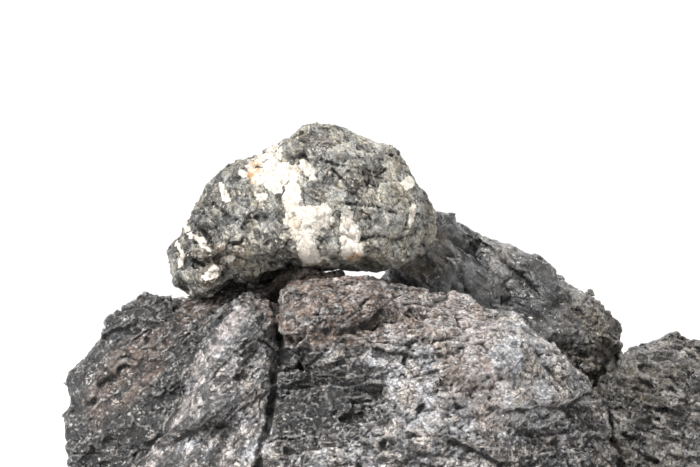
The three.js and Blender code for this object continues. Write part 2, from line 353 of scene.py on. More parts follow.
class Stone:
    def __init__(self, node, name):
        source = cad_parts[node]
        self.node = node
        self.rock = bpy.data.objects.new(name, source.data.copy())
        self.rock.data.materials.clear()
        scene.collection.objects.link(self.rock)
        low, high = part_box(node)
        self.middle = np.array((low + high) / 2) / mm
        joined = self.rock.modifiers.new("joined", "WELD")
        joined.merge_threshold = 0.01 * mm
        finer = self.rock.modifiers.new("finer", "SUBSURF")
        finer.levels = finer.render_levels = 2
        self.settle()

    def settle(self):
        # makes the modifiers' result the rock's own mesh
        graph = bpy.context.evaluated_depsgraph_get()
        result = bpy.data.meshes.new_from_object(self.rock.evaluated_get(graph))
        old = self.rock.data
        self.rock.modifiers.clear()
        self.rock.data = result
        bpy.data.meshes.remove(old)

    def read(self, mesh, what="co"):
        items = mesh.vertices if what == "co" else mesh.vertex_normals
        flat = np.empty(len(mesh.vertices) * 3, np.float32)
        items.foreach_get("co" if what == "co" else "vector", flat)
        return flat.reshape(-1, 3).astype(float)

    def dropCrumbs(self):
        # leaves only the largest joined piece of the mesh
        mesh = self.rock.data
        pairs = np.empty(len(mesh.edges) * 2, np.int32)
        mesh.edges.foreach_get("vertices", pairs)
        first, second = pairs.reshape(-1, 2).T
        label = np.arange(len(mesh.vertices))
        while (label[first] != label[second]).any():
            lower = np.minimum(label[first], label[second])
            np.minimum.at(label, first, lower)
            np.minimum.at(label, second, lower)
            label = label[label]
        loose = np.flatnonzero(label != np.bincount(label).argmax())
        if len(loose):
            shape = bmesh.new()
            shape.from_mesh(mesh)
            shape.verts.ensure_lookup_table()
            bmesh.ops.delete(shape, geom=[shape.verts[index] for index in loose], context="VERTS")
            shape.to_mesh(mesh)
            shape.free()

    def smoothed(self, rounds):
        # points and normals of the same mesh after a number of smoothing rounds
        worn = self.rock.modifiers.new("worn", "SMOOTH")
        worn.factor, worn.iterations = 0.5, rounds
        graph = bpy.context.evaluated_depsgraph_get()
        mesh = self.rock.evaluated_get(graph).data
        points, normals = self.read(mesh) / mm - self.middle, self.read(mesh, "normal")
        self.rock.modifiers.clear()
        return points, normals

    def refine(self, voxel, rounds=0, calm=6):
        # an even mesh again, its points from the stone's middle and its calm outward directions
        even = self.rock.modifiers.new("even", "REMESH")
        even.mode, even.voxel_size = "VOXEL", voxel * mm * coarser
        if rounds:
            worn = self.rock.modifiers.new("worn", "SMOOTH")
            worn.factor, worn.iterations = 0.5, rounds
        self.settle()
        self.dropCrumbs()
        self.points = self.read(self.rock.data) / mm - self.middle
        self.normals = self.smoothed(calm)[1]
        self.front = ramp(-self.normals[:, 1], -0.1, 0.3)
        self.room = np.full(len(self.points), neighbourReach)
        for name, tree in allTrees.items():
            if name == self.node:
                continue
            low, high = [np.array(corner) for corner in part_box(name)]
            places = (self.points + self.middle) * mm
            close = ((places > low - neighbourReach * mm) & (places < high + neighbourReach * mm)).all(axis=1)
            for index in np.flatnonzero(close):
                distance = tree.find_nearest(places[index], neighbourReach * mm)[3]
                if distance is not None:
                    self.room[index] = min(self.room[index], distance / mm)

    def press(self, move):
        # moves every point out by its share, but never into the floor or a neighbour
        height = self.points[:, 2] + self.middle[2]
        move = np.minimum(move * ramp(height, 0.3, floorFade), np.maximum(self.room - 0.25, 0))
        self.points = self.points + self.normals * move[:, None]
        self.points[:, 2] = np.maximum(self.points[:, 2], -self.middle[2])
        placed = ((self.points + self.middle) * mm).astype(np.float32)
        self.rock.data.vertices.foreach_set("co", placed.ravel())
        self.rock.data.update()

    def shade(self, name, values):
        layer = self.rock.data.attributes.new(name, "FLOAT", "POINT")
        layer.data.foreach_set("value", np.broadcast_to(values, len(self.points)).astype(np.float32))

    def finish(self, material):
        for name in ("lift", "calm", "turned", "pale", "stain", "quartz", "rust"):
            if name not in self.rock.data.attributes:
                self.shade(name, 0)
        # fine and broad hollows go below 0.5 and crests above it; the material paints shade into the hollows
        # from them
        for name, rounds, depth in (("fineRelief", 5, 0.35), ("broadRelief", 60, 1.6)):
            calm, outward = self.smoothed(rounds)
            lift = ((self.points - calm) * outward).sum(axis=1)
            self.shade(name, 0.5 + 0.5 * np.clip(lift / depth, -1, 1))
        mesh = self.rock.data
        mesh.materials.clear()
        mesh.materials.append(material)
        mesh.polygons.foreach_set("use_smooth", [True] * len(mesh.polygons))
        mesh.update()
        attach(self.rock, "root")
        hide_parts(self.node)
        print(self.rock.name, "finished with", len(mesh.polygons), "faces")


# ---- rock material: mottled body, mineral grains, stains, painted shade in the hollows, and quartz

class Graph:
    # small helper that adds shader nodes and links them in one line
    def __init__(self, name):
        self.material = bpy.data.materials.new(name)
        self.material.use_nodes = True
        self.tree = self.material.node_tree
        self.shader = self.tree.nodes["Principled BSDF"]
        self.place = self.add("ShaderNodeTexCoord").outputs["Object"]

    def add(self, kind, **settings):
        made = self.tree.nodes.new(kind)
        for key, value in settings.items():
            setattr(made, key, value)
        return made

    def feed(self, socket, value):
        if isinstance(value, bpy.types.NodeSocket):
            self.tree.links.new(value, socket)
        elif isinstance(value, tuple):
            socket.default_value = (*value, 1) if len(value) == 3 else value
        else:
            socket.default_value = value

    def noise(self, size, detail=4.0, rough=0.6, twist=0.0, place=None):
        made = self.add("ShaderNodeTexNoise")
        self.feed(made.inputs["Vector"], place or self.place)
        made.inputs["Scale"].default_value = 1 / (size * mm)
        made.inputs["Detail"].default_value = detail
        made.inputs["Roughness"].default_value = rough
        made.inputs["Distortion"].default_value = twist
        return made.outputs["Fac"]

    def grains(self, size, output="Color", feature="F1", place=None):
        made = self.add("ShaderNodeTexVoronoi", feature=feature)
        self.feed(made.inputs["Vector"], place or self.place)
        made.inputs["Scale"].default_value = 1 / (size * mm)
        return made.outputs[output]

    def math(self, operation, first, second=0.0):
        made = self.add("ShaderNodeMath", operation=operation)
        self.feed(made.inputs[0], first)
        self.feed(made.inputs[1], second)
        return made.outputs[0]

    def times(self, first, second):
        return self.math("MULTIPLY", first, second)

    def plus(self, first, second):
        return self.math("ADD", first, second)

    def rest(self, value):
        # what is left of 1
        return self.math("SUBTRACT", 1.0, value)

    def spread(self, value, low, high, toLow=0.0, toHigh=1.0):
        made = self.add("ShaderNodeMapRange", interpolation_type="SMOOTHSTEP")
        for name, number in (("Value", value), ("From Min", low), ("From Max", high),
                             ("To Min", toLow), ("To Max", toHigh)):
            self.feed(made.inputs[name], number)
        return made.outputs[0]

    def mix(self, share, first, second, blend="MIX"):
        made = self.add("ShaderNodeMix", data_type="RGBA", blend_type=blend)
        self.feed(made.inputs[0], share)
        self.feed(made.inputs[6], first)
        self.feed(made.inputs[7], second)
        return made.outputs[2]

    def darkened(self, colour, shares):
        return self.mix(1.0, colour, shares, "MULTIPLY")

    def blend(self, share, first, second):
        made = self.add("ShaderNodeMix", data_type="FLOAT")
        self.feed(made.inputs[0], share)
        self.feed(made.inputs[2], first)
        self.feed(made.inputs[3], second)
        return made.outputs[0]

    def tones(self, value, stops):
        made = self.add("ShaderNodeValToRGB")
        self.feed(made.inputs[0], value)
        points = made.color_ramp.elements
        while len(points) < len(stops):
            points.new(0.5)
        for point, (position, colour) in zip(points, stops):
            point.position, point.color = position, (*colour, 1)
        return made.outputs[0]

    def layered(self, lean, stretch):
        # places squeezed along layers that lean by this many degrees in the front view
        made = self.add("ShaderNodeMapping", vector_type="TEXTURE")
        self.feed(made.inputs["Vector"], self.place)
        made.inputs["Rotation"].default_value = (0.15, -math.radians(lean), 0)
        made.inputs["Scale"].default_value = (stretch, stretch, 1)
        return made.outputs[0]

    def stirred(self, size, amount, place=None):
        # places pushed about by noise, so that nothing set out on them has quite straight edges
        made = self.add("ShaderNodeTexNoise")
        self.feed(made.inputs["Vector"], self.place)
        made.inputs["Scale"].default_value = 1 / (size * mm)
        made.inputs["Detail"].default_value = 3
        shift = self.add("ShaderNodeVectorMath", operation="MULTIPLY_ADD")
        self.feed(shift.inputs[0], made.outputs["Color"])
        shift.inputs[1].default_value = [amount * mm] * 3
        self.feed(shift.inputs[2], place or self.place)
        return shift.outputs[0]

    def chips(self, size, place):
        # small flat faces, each tilted its own way: their height, and a shade for each
        made = self.add("ShaderNodeTexVoronoi")
        self.feed(made.inputs["Vector"], place)
        made.inputs["Scale"].default_value = 1 / (size * mm)
        offset = self.add("ShaderNodeVectorMath", operation="SUBTRACT")
        self.feed(offset.inputs[0], place)
        self.feed(offset.inputs[1], made.outputs["Position"])
        tilt = self.add("ShaderNodeVectorMath", operation="SUBTRACT")
        self.feed(tilt.inputs[0], made.outputs["Color"])
        tilt.inputs[1].default_value = (0.5, 0.5, 0.5)
        height = self.add("ShaderNodeVectorMath", operation="DOT_PRODUCT")
        self.feed(height.inputs[0], offset.outputs[0])
        self.feed(height.inputs[1], tilt.outputs[0])
        tones = self.add("ShaderNodeSeparateColor")
        self.feed(tones.inputs[0], made.outputs["Color"])
        return self.times(height.outputs["Value"], 1 / (size * mm)), tones.outputs[2]

    def shade(self, name):
        return self.add("ShaderNodeAttribute", attribute_name=name).outputs["Fac"]

    def bump(self, height, strength, distance, onTop=None):
        made = self.add("ShaderNodeBump")
        self.feed(made.inputs["Strength"], strength)
        made.inputs["Distance"].default_value = distance * mm
        self.feed(made.inputs["Height"], height)
        if onTop is not None:
            self.feed(made.inputs["Normal"], onTop)
        return made.outputs[0]


def mottledTone(graph, look):
    # broad clouds, patches, streaks with the layers and small chips add up to one tone
    streaks = [graph.noise(look["streak"], 6, 0.7, 0.3, graph.layered(lean, 4)) for lean in look["layers"]]
    streak = streaks[0]
    if len(streaks) > 1:
        streak = graph.blend(graph.shade("turned"), streaks[0], streaks[1])
    streak = graph.spread(streak, 0.32, 0.68)
    broad = graph.spread(graph.noise(look["mottle"] * 4, 4, 0.55, 0.5), 0.3, 0.7)
    patchy = graph.spread(graph.noise(look["mottle"], 7, 0.72, 0.4), 0.3, 0.7)
    tone = graph.plus(graph.times(broad, 0.3), graph.times(patchy, 0.4))
    tone = graph.plus(tone, graph.times(streak, 0.3))
    stirred = graph.stirred(look["chip"], look["chip"] * 0.35, graph.layered(look["layers"][0], 1.7))
    large, largeTone = graph.chips(look["chip"], stirred)
    small, smallTone = graph.chips(look["chip"] * 0.42, stirred)
    for chip, share in ((largeTone, look["facets"]), (smallTone, look["facets"] * 0.6)):
        tone = graph.plus(tone, graph.spread(chip, 0.0, 1.0, -share, share))
    # the lift shade holds the stones' lighter and darker parts, and painted shade in recesses, under
    # overhangs and on upward faces
    return graph.plus(tone, graph.times(graph.shade("lift"), 0.25)), streak, large, small


def bodyColour(graph, look, tone, streak):
    # from black to light with the tone, then cool and warm clouds, stains and pale patches
    body = graph.tones(tone, [(0.28, look["black"]), (0.43, look["dark"]), (0.56, look["mid"]),
                              (0.72, look["light"])])
    hue = graph.spread(graph.noise(look["mottle"] * 2.5, 5, 0.7), 0.38, 0.62)
    body = graph.darkened(body, graph.mix(hue, look["cool"], look["warm"]))
    clouds = graph.spread(graph.noise(look["mottle"] * 1.4, 6, 0.75), 0.36, 0.6)
    stain = graph.times(graph.shade("stain"), clouds)
    body = graph.mix(graph.times(stain, 0.8), body, look["stain"])
    clouds = graph.spread(graph.noise(look["mottle"] * 0.7, 7, 0.75), 0.3, 0.7, -0.4, 0.4)
    pale = graph.spread(graph.plus(graph.shade("pale"), clouds), 0.3, 0.95)
    pale = graph.times(pale, graph.spread(streak, 0.1, 0.7, 0.55, 1.0))
    return graph.mix(pale, body, look["pale"])


def mineralGrains(graph, look, body, busy):
    # each grain lighter or darker than the rock round it, with a finer set inside, and a few pale flecks
    grain, small = graph.add("ShaderNodeSeparateColor"), graph.add("ShaderNodeSeparateColor")
    graph.feed(grain.inputs[0], graph.grains(look["grain"]))
    graph.feed(small.inputs[0], graph.grains(look["grain"] * 0.55))
    for layer, share in ((grain, look["pepper"]), (small, look["pepper"] * 0.8)):
        pepper = graph.spread(layer.outputs[0], 0.0, 1.0, 1 - share, 1 + share)
        body = graph.mix(busy, body, graph.darkened(body, pepper))
    fleck = graph.times(graph.spread(grain.outputs[1], 1 - look["flecks"], 1.0),
                        graph.spread(graph.noise(look["mottle"], 4, 0.7), 0.4, 0.58))
    return graph.mix(graph.times(fleck, busy), body, look["fleck"]), grain.outputs[2]


def hairlineCracks(graph, look, body, busy):
    # thin dark lines, open only in places: the darkened body, and the lines themselves as 0 in 1
    bent = graph.stirred(look["crackle"] * 0.8, look["crackle"] * 0.7)
    line = graph.spread(graph.grains(look["crackle"], "Distance", "DISTANCE_TO_EDGE", bent), 0.012, 0.05)
    places = graph.times(graph.spread(graph.noise(look["crackle"] * 1.7, 3, 0.6), 0.42, 0.58), busy)
    crackled = graph.rest(graph.times(graph.rest(line), places))
    return graph.darkened(body, graph.spread(crackled, 0.0, 1.0, 0.25, 1.0)), crackled


def hollowsAndCrests(graph, look, body, busy, fine):
    # painted shade darkens the fine and broad hollows; the crests are paler
    paintedShade = graph.times(graph.spread(fine, 0.05, 0.45, 0.25, 1.0),
                       graph.spread(graph.shade("broadRelief"), 0.0, 0.5, look["hollow"], 1.0))
    crest = graph.times(graph.spread(fine, 0.52, 0.95, 0.0, look["crest"]), busy)
    return graph.mix(crest, graph.darkened(body, paintedShade), look["fleck"])


def quartzOver(graph, look, body, fine):
    # cream with rust at some edges, feathered into the rock by noise of several sizes
    ragged = graph.plus(graph.spread(graph.noise(6.5, 8, 0.8), 0.25, 0.75, -0.55, 0.55),
                        graph.spread(graph.noise(1.8, 5, 0.75), 0.25, 0.75, -0.4, 0.4))
    edge = graph.plus(graph.shade("quartz"), ragged)
    vein = graph.spread(edge, 0.34, 0.52)
    cream = graph.mix(graph.spread(graph.noise(3.5, 7, 0.75), 0.4, 0.68), look["quartz"], look["quartzShade"])
    cream = graph.mix(graph.spread(edge, 0.34, 0.7, 0.7, 0.0), cream, look["quartzShade"])
    rust = graph.times(graph.shade("rust"), graph.spread(graph.noise(5, 5, 0.7), 0.35, 0.6))
    cream = graph.mix(rust, cream, look["rust"])
    # the cream darkened in its fine hollows: painted shade
    cream = graph.darkened(cream, graph.spread(fine, 0.0, 0.5, 0.35, 1.0))
    return graph.mix(vein, body, cream), vein


def rockMaterial(name, look):
    graph = Graph(name)
    busy = graph.rest(graph.times(graph.shade("calm"), 0.75))   # calm faces carry fewer small marks
    fine = graph.shade("fineRelief")
    tone, streak, large, small = mottledTone(graph, look)
    body = bodyColour(graph, look, tone, streak)
    body, sparkle = mineralGrains(graph, look, body, busy)
    body, crackled = hairlineCracks(graph, look, body, busy)
    body = hollowsAndCrests(graph, look, body, busy, fine)
    body, vein = quartzOver(graph, look, body, fine)
    graph.feed(graph.shader.inputs["Base Color"], body)
    rough = graph.spread(sparkle, 0.0, 1.0, *look["gloss"])
    graph.feed(graph.shader.inputs["Roughness"], graph.plus(rough, graph.times(vein, 0.15)))
    graph.shader.inputs["Specular IOR Level"].default_value = look["shine"]
    # relief too fine for the mesh: chips in two sizes, crumbs, the layers' edges and the hairlines
    normal = None
    for height, depth in ((large, look["chip"] * 0.6), (small, look["chip"] * 0.3),
                          (graph.noise(look["grain"] * 1.8, 6, 0.8), look["grain"] * 0.55),
                          (streak, look["streak"] * 0.3), (crackled, look["crackle"] * 0.08)):
        normal = graph.bump(height, busy, depth * look["relief"], normal)
    graph.feed(graph.shader.inputs["Normal"], normal)
    return graph.material


# ---- the broad front stone: slanting layers left of its cleft, level ones right of it

frontStone = {
    "voxels": (1.8, 1.6, 1.4, 1.2),     # of each round, from broad to fine
    "leftGrain": (0.62, 0.25, -0.74),   # across the layers left of the cleft
    "rightGrain": (-0.1, 0.3, 0.95),
    "cleft": -40,                       # where across the front the layers change
    "ridgeCut": 1,                      # which of the cuts, from 0, is the slanting ridge
    "bumpCut": 5,                       # and which is the underside of the brown bump, with painted shadow below it
    "cuts": [  # path, how far its left and right stand out, reach, crack depth, crack width
        ([(-42, 98), (-40, 86), (-37, 72), (-35, 60), (-37, 45), (-39, 34), (-40, 27), (-42, 10),
          (-46, -2), (-50, -30), (-58, -60), (-60, -80)], 0.0, 0.0, 20, 15.0, 3.2),
        ([(-50, 96), (-57, 86), (-66, 78), (-76, 65), (-83, 53), (-88, 40), (-93, 26), (-101, 13),
          (-109, 2), (-120, -20), (-126, -34)], 8.0, -9.0, 18, 2.0, 2.5),
        ([(-170, 36), (-156, 48), (-138, 59), (-123, 66), (-102, 73), (-92, 82)], 4.5, -3.0, 14, 6.0, 1.8),
        ([(-154, 20), (-143, 28), (-129, 39), (-119, 46), (-106, 58)], 3.0, -3.0, 11, 4.5, 1.7),
        ([(-94, 76), (-81, 84), (-68, 87), (-58, 89)], 2.5, -1.5, 8, 4.5, 1.6),
        ([(-42, 47), (-34, 55), (-27, 60), (-19, 66), (-9, 70), (7, 72), (17, 77), (28, 86)],
         9.0, -7.5, 15, 14.0, 3.2),
        ([(-24, 48), (-12, 51), (4, 54), (14, 58), (24, 59), (33, 57), (50, 58), (63, 57), (78, 62)],
         3.0, -1.0, 11, 6.5, 1.6),
        ([(-36, 35), (-27, 37), (-20, 40), (-13, 49)], 2.5, -2.5, 8, 5.0, 1.6),
        ([(80, 26), (91, 24), (108, 23), (131, 21), (147, 22), (162, 26)], 4.5, -4.0, 12, 9.0, 2.2),
        ([(56, 12), (72, 4), (90, -4), (112, -8), (136, -4)], 3.0, -3.5, 11, 7.0, 2.0),
        ([(20, 44), (34, 48), (48, 46), (58, 50)], 2.0, -2.0, 8, 4.0, 1.5),
        ([(52, 32), (41, 22), (33, 14), (20, 6), (8, 2)], 2.0, -2.5, 9, 3.5, 1.5),
        ([(-112, 0), (-96, 6), (-78, 14), (-60, 18)], 3.0, -4.0, 12, 4.0, 1.7),
        ([(52, 60), (60, 46), (60, 34), (66, 20), (84, 6), (98, -8)], 2.5, -2.0, 9, 0.0, 1.5),
        ([(112, 58), (118, 48), (126, 40), (134, 30)], 2.0, -3.0, 8, 3.0, 1.5),
    ],
    "bulges": [  # place, size, stretch, lean, height
        ((-70, 46), 22, 2.0, 55, 3.0),
        ((1, 30), 18, 1.2, 0, -12.0),
        ((-5, 27), 8, 1.3, 40, 4.5),
        ((39, 27), 18, 1.15, 20, 4.0),
        ((77, 29), 8, 1.6, -20, -6.0),
        ((118, 6), 13, 1.8, -5, -7.0),
        ((-3, 86), 22, 1.7, 0, 3.0),
        ((110, 44), 17, 1.6, -25, 3.5),
        ((-140, 20), 18, 1.6, 50, 3.0),
        ((-24, 42), 12, 1.5, 70, -10.0),
        ((-22, 15), 10, 1.5, 80, -6.0),
    ],
    "lumps": [  # place, size, height
        ((-165, -6, 16), 46, 3.0), ((-38, 42, 86), 17, 8.0), ((-60, 40, 84), 16, 9.0),
        ((-72, 10, 90), 14, 7.0), ((-16, 42, 90), 15, 7.0), ((-116, 0, 92), 12, -4.0),
    ],
    "pinkSpots": [(32, 82), (50, 79), (67, 76), (71, 60), (75, 71), (80, 64), (74, 46), (66, 34), (92, 44)],
    # patches of tone: place, size, stretch, lean, seed, strength
    "paler": [((40, 27), 13, 1.2, 20, 91, 0.4)],
    "lighter": [((40, 27), 20, 1.3, 0, 92, 0.8), ((100, 40), 30, 1.3, -20, 93, 0.9)],
    # three of these, in the pocket at (2, 34) and the recesses at (124, 4) and (-24, 32), are painted shade;
    # the one at (-6, 84) is the brown bump's own darker tone
    "darkerAndShaded": [((2, 34), 22, 1.5, 0, 97, 1.1), ((124, 4), 22, 1.6, 0, 98, 0.6),
               ((-6, 84), 26, 1.6, 0, 88, 0.6), ((-24, 32), 16, 2.0, 90, 99, 1.6)],
    "stained": [((-3, 84), 26, 1.7, 0, 94, 1.0), ((60, 76), 14, 2.2, -5, 95, 0.8),
                ((-125, 40), 16, 2.4, 45, 96, 0.5), ((-80, 84), 9, 2.4, 40, 89, 0.7),
                ((74, 46), 15, 2.6, -60, 90, 0.9)],
}

# a look has its colours, the layers' lean in degrees, the sizes of streaks, mottling, grains, chips and
# crackle in millimetres, and shares for the rest; hollow is how dark the painted shade in broad hollows goes
frontLook = {
    "black": (0.01, 0.01, 0.011), "dark": (0.055, 0.053, 0.054), "mid": (0.15, 0.146, 0.145),
    "light": (0.5, 0.49, 0.48), "stain": (0.24, 0.155, 0.11), "pale": (0.42, 0.365, 0.345),
    "fleck": (0.58, 0.56, 0.53), "quartz": (0.7, 0.65, 0.6), "quartzShade": (0.5, 0.45, 0.4),
    "rust": (0.336, 0.168, 0.067), "layers": (5, 50), "streak": 3.0, "mottle": 6.0, "grain": 1.5,
    "pepper": 0.5, "flecks": 0.12, "hollow": 0.08, "crest": 0.4, "gloss": (0.24, 0.55), "shine": 0.8,
    "chip": 3.8, "crackle": 9.0, "relief": 1.6, "facets": 0.12,
    "cool": (0.95, 0.98, 1.05), "warm": (1.1, 0.99, 0.9),
}


def cutAndBulge(stone, setup):
    # the stone's own cracks, ledges, hollows and bulges, and how open a crack is at each point
    move, opened = np.zeros(len(stone.points)), np.zeros(len(stone.points))
    wander = fractal(stone.points, 18, 5, 60, 0.65) * 3.6
    x, z = stone.points[:, 0] + wander, stone.points[:, 2] - wander
    for path, left, right, reach, crack, width in setup["cuts"]:
        step, gap = splitAlong(x, z, path, left, right, reach, crack, width)
        move, opened = move + step, np.maximum(opened, gap * min(crack, 1))
    for count, (at, size, stretch, lean, height) in enumerate(setup["bulges"]):
        move += height * blob(stone.points, at, size, stretch, lean, 80 + count)
    move, opened = move * stone.front, opened * stone.front
    for at, size, height in setup["lumps"]:
        move += height * np.exp(-((stone.points - np.array(at)) ** 2).sum(axis=1) / size ** 2)
    return move, opened


def ridgeFace(stone, setup):
    # the smooth slab between the slanting ridge and the cleft, its crest and the valley beside it, which is
    # given painted shade
    points = stone.points
    distance, _ = pathDistance(points[:, 0], points[:, 2], setup["cuts"][setup["ridgeCut"]][0])
    nearSide = ramp(setup["cleft"] + 4 - points[:, 0], -4, 4) * stone.front
    face = ramp(distance, -1, 3) * ramp(-distance, -34, -8) * nearSide
    shadedValley = ramp(-distance, 0, 2) * ramp(distance, -16, -6) * nearSide
    return face, face * ramp(-distance, -20, -4), shadedValley


def leftOfCleft(points, setup):
    return ramp(setup["cleft"] - points[:, 0], -6, 6)


def buildFrontStone(setup):
    stone = Stone("front_stone", "frontRock")
    leftGrain, rightGrain = setup["leftGrain"], setup["rightGrain"]
    stone.refine(setup["voxels"][0], 3, 8)
    solid = 1 - cutAndBulge(stone, setup)[1]
    stone.press(solid * brokenPlanes(stone.points, stone.normals, 40, 0.7, 0.12, 101, rightGrain))

    stone.refine(setup["voxels"][1], 0, 12)
    stone.press(cutAndBulge(stone, setup)[0])

    stone.refine(setup["voxels"][2], 0, 8)
    points = stone.points
    solid = 1 - cutAndBulge(stone, setup)[1]
    leftSide = leftOfCleft(points, setup)
    bare = 1 - 0.6 * ridgeFace(stone, setup)[0]
    move = leftSide * ledges(points, leftGrain, 12, 4.4, 111)
    move += (1 - leftSide) * ledges(points, rightGrain, 13, 4.6, 113)
    move += 0.9 * brokenPlanes(points, stone.normals, 18, 0.85, 0.28, 102, rightGrain)
    move += (1 - 0.8 * stone.front) * cracks(points, 50, 1.8, 7.0, 123, rightGrain)
    stone.press(solid * bare * move)

    stone.refine(setup["voxels"][3], 0, 4)
    points = stone.points
    opened = cutAndBulge(stone, setup)[1]
    leftSide = leftOfCleft(points, setup)
    rough = 0.35 + 0.65 * ramp(fractal(points, 45, 2, 151) + 0.3 - 0.6 * leftSide, -0.3, 0.4)
    move = leftSide * ledges(points, leftGrain, 4.2, 1.3, 112, 2.0)
    move += (1 - leftSide) * ledges(points, rightGrain, 5, 1.4, 114, 2.0)
    move += brokenPlanes(points, stone.normals, 8, 0.75, 0.2, 103, rightGrain)
    move += rough * (ridged(points, 7, 3, 131) - 0.5) * 1.4
    move += rough * fractal(points, 3, 2, 132) * 0.6
    move += cracks(points, 24, 1.0, 2.6, 121, rightGrain) + rough * cracks(points, 9, 0.8, 1.1, 122)
    bare = 1 - 0.5 * ridgeFace(stone, setup)[0]
    stone.press((1 - opened) * bare * move - 1.5 * opened)

    points = stone.points
    face, crest, shadedValley = ridgeFace(stone, setup)
    patchy = 0.35 + 0.65 * ramp(fractal(points, 14, 3, 152), -0.35, 0.25)
    pale = 0.15 * face + 0.5 * crest * patchy + patches(points, setup["paler"])
    for count, at in enumerate(setup["pinkSpots"]):
        pale += 0.8 * blob(points, at, 6, 1.3, 40 * count, 170 + count)
    stone.shade("pale", np.clip(pale, 0, 1))
    lift = ramp(points[:, 0], -20, 20) * (0.55 + patches(points, setup["lighter"]))
    # darker patches: painted shade in the pocket and recesses, and the brown bump's own darker tone
    lift -= patches(points, setup["darkerAndShaded"])
    # darker on the ridge face and far left; the valley beside the ridge gets painted shade
    lift -= 0.5 * face + 0.9 * shadedValley + 2.0 * ramp(-points[:, 0], 84, 112)
    # painted shadow under the brown bump's overhang
    under, _ = pathDistance(points[:, 0], points[:, 2], setup["cuts"][setup["bumpCut"]][0])
    lift -= 1.2 * ramp(-under, -1, 1) * ramp(under, -10, -4)
    stone.shade("lift", lift * stone.front)
    stain = patches(points, setup["stained"])
    stain += 0.6 * ramp(fractal(points, 34, 3, 143), 0.1, 0.5) * (1 - stone.front)
    stone.shade("stain", np.clip(stain, 0, 1))
    stone.shade("turned", leftOfCleft(points, setup))
    stone.shade("calm", 0.6 * face + 0.3 * ramp(-points[:, 0], 84, 112))
    stone.shade("quartz", ramp(fractal(points, 30, 3, 141), 0.3, 0.9) * 0.4)
    stone.shade("rust", ramp(fractal(points, 20, 2, 142), 0.1, 0.5))
    stone.finish(rockMaterial("frontRock", frontLook))


# ---- the stone behind: large sharp fracture faces, crumbling at its right

backStone = {
    "voxels": (1.8, 1.6, 1.4, 1.25),
    "grain": (0.55, 0.2, 0.8),          # across the layers
    "cuts": [  # path, how far its left and right stand out, reach, crack depth, crack width
        ([(-16, 108), (-8, 99), (4, 89), (13, 80), (26, 68), (36, 60)], 4.0, -6.0, 12, 2.0, 1.6),
        ([(-24, 100), (-16, 94), (-10, 88), (-2, 82), (6, 74)], 3.5, -4.0, 9, 4.0, 1.6),
        ([(-6, 106), (2, 98), (12, 92), (20, 84)], 2.5, -3.0, 7, 4.5, 1.5),
        ([(-13, 90), (-20, 82), (-24, 70), (-22, 58)], -2.5, 3.5, 9, 4.0, 1.8),
        ([(2, 60), (10, 68), (20, 74), (28, 70)], 4.0, -5.0, 9, 3.0, 1.6),
        ([(-60, 78), (-50, 70), (-40, 62), (-30, 56)], 3.0, -4.0, 9, 4.0, 1.6),
    ],
    "bulges": [((14, 66), 7, 1.8, 35, -2.5), ((-30, 84), 12, 1.4, -40, 3.0), ((24, 52), 9, 1.3, 0, -3.0)],
    "lumps": [],
    "lighter": [((-2, 72), 12, 1.6, -40, 243, 0.5)],
    "stained": [((-44, 92), 16, 1.4, 0, 242, 0.6)],
}

backLook = {
    "black": (0.008, 0.008, 0.009), "dark": (0.038, 0.038, 0.04), "mid": (0.07, 0.07, 0.071),
    "light": (0.15, 0.148, 0.145), "stain": (0.13, 0.1, 0.058), "pale": (0.26, 0.245, 0.215),
    "fleck": (0.32, 0.31, 0.295), "quartz": (0.6, 0.56, 0.5), "quartzShade": (0.45, 0.4, 0.35),
    "rust": (0.24, 0.13, 0.06), "layers": (-38,), "streak": 4.0, "mottle": 12.0, "grain": 1.4,
    "pepper": 0.35, "flecks": 0.05, "hollow": 0.06, "crest": 0.4, "gloss": (0.22, 0.45), "shine": 0.8,
    "chip": 9.0, "crackle": 16.0, "relief": 1.0, "facets": 0.16,
    "cool": (0.96, 0.98, 1.02), "warm": (1.06, 1.0, 0.92),
}


def crumblingPart(points):
    # grows to 1 towards the low right of the stone
    return ramp(points[:, 0] - points[:, 2] * 0.4, 20, 45)


